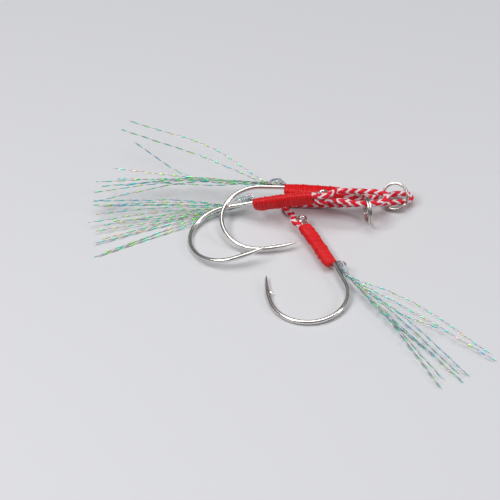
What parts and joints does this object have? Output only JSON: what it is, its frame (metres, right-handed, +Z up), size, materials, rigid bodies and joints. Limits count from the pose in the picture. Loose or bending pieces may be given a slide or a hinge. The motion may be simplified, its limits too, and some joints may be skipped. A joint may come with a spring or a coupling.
{
  "type": "treble assist hook rig",
  "caption": "Set of barbed single fishing hooks whipped with red thread to braided cord loops that carry split rings, each hook trailing a tinsel tail.",
  "frame": {"origin": "middle of the footprint of the bounding box, on the plane the rig lies on", "axes": "+X from the long tinsel tails towards the split rings, +Y away from the hooks' points, +Z up out of the surface it lies on"},
  "size_m": [0.0872, 0.0784, 0.0093],
  "materials": {
    "hook_steel": "bright tinned",
    "ring_steel": "polished stainless",
    "whipping_thread": "waxed glossy thread",
    "braided_cord": "red braid with white flecks",
    "tinsel_film": "iridescent film"
  },
  "bodies": {
    "cords": {"twin_cord": "braided_cord", "loop_cord": "braided_cord"},
    "hook_a_arm": {"hook_a": "hook_steel", "whipping_a": "whipping_thread", "twin_cord_end_a": "braided_cord"},
    "hook_b_arm": {"hook_b": "hook_steel", "whipping_b": "whipping_thread", "loop_cord_end_back": "braided_cord", "loop_cord_end_front": "braided_cord"},
    "hook_c_arm": {"hook_c": "hook_steel", "whipping_c": "whipping_thread", "twin_cord_end_c": "braided_cord"},
    "main_ring": {"main_split_ring": "ring_steel"},
    "small_ring": {"small_split_ring": "ring_steel"},
    "tail_a": {"tinsel_a_01": "tinsel_film", "tinsel_a_02": "tinsel_film", "tinsel_a_03": "tinsel_film", "tinsel_a_04": "tinsel_film", "tinsel_a_05": "tinsel_film", "tinsel_a_06": "tinsel_film", "tinsel_a_07": "tinsel_film", "tinsel_a_08": "tinsel_film", "tinsel_a_09": "tinsel_film", "tinsel_a_10": "tinsel_film", "tinsel_a_11": "tinsel_film"},
    "tail_b": {"tinsel_b_01": "tinsel_film", "tinsel_b_02": "tinsel_film", "tinsel_b_03": "tinsel_film", "tinsel_b_04": "tinsel_film", "tinsel_b_05": "tinsel_film", "tinsel_b_06": "tinsel_film", "tinsel_b_07": "tinsel_film", "tinsel_b_08": "tinsel_film", "tinsel_b_09": "tinsel_film", "tinsel_b_10": "tinsel_film", "tinsel_b_11": "tinsel_film", "tinsel_b_12": "tinsel_film", "tinsel_b_13": "tinsel_film"},
    "tail_c": {"tinsel_c_01": "tinsel_film", "tinsel_c_02": "tinsel_film", "tinsel_c_03": "tinsel_film", "tinsel_c_04": "tinsel_film", "tinsel_c_05": "tinsel_film", "tinsel_c_06": "tinsel_film", "tinsel_c_07": "tinsel_film", "tinsel_c_08": "tinsel_film", "tinsel_c_09": "tinsel_film", "tinsel_c_10": "tinsel_film"}
  },
  "joints": [
    {"name": "hook_a_swing", "type": "hinge", "parent": "cords", "child": "hook_a_arm", "pos_m": [0.01768, 0.01778, 0.00325], "axis": [0, 0.7071, -0.7071], "range_deg": [0, 42]},
    {"name": "hook_b_swing", "type": "hinge", "parent": "cords", "child": "hook_b_arm", "pos_m": [0.01179, 0.01388, 0.0071], "axis": [0, -0.2, 0.9798], "range_deg": [0, 7]},
    {"name": "hook_c_swing", "type": "hinge", "parent": "cords", "child": "hook_c_arm", "pos_m": [0.00138, 0.01834, 0.00075], "axis": [0, 0, 1], "range_deg": [-5, 26]},
    {"name": "main_ring_swing", "type": "hinge", "parent": "cords", "child": "main_ring", "pos_m": [0.02479, 0.01789, 0.00182], "axis": [0.9631, 0.241, -0.12], "range_deg": [0, 25]},
    {"name": "small_ring_swing", "type": "hinge", "parent": "cords", "child": "small_ring", "pos_m": [0.01838, 0.01273, 0.00525], "axis": [1, 0, 0], "range_deg": [-6, 6]},
    {"name": "tail_a_sway", "type": "hinge", "parent": "hook_a_arm", "child": "tail_a", "pos_m": [-0.00026, 0.01983, 0.00525], "axis": [0, 0, -1], "range_deg": [0, 6]},
    {"name": "tail_b_sway", "type": "hinge", "parent": "hook_b_arm", "child": "tail_b", "pos_m": [-0.00722, 0.01608, 0.00415], "axis": [0, 0, -1], "range_deg": [0, 3]},
    {"name": "tail_c_sway", "type": "hinge", "parent": "hook_c_arm", "child": "tail_c", "pos_m": [0.01124, -0.00231, 0.00185], "axis": [0, 0, 1], "range_deg": [0, 6]}
  ]
}
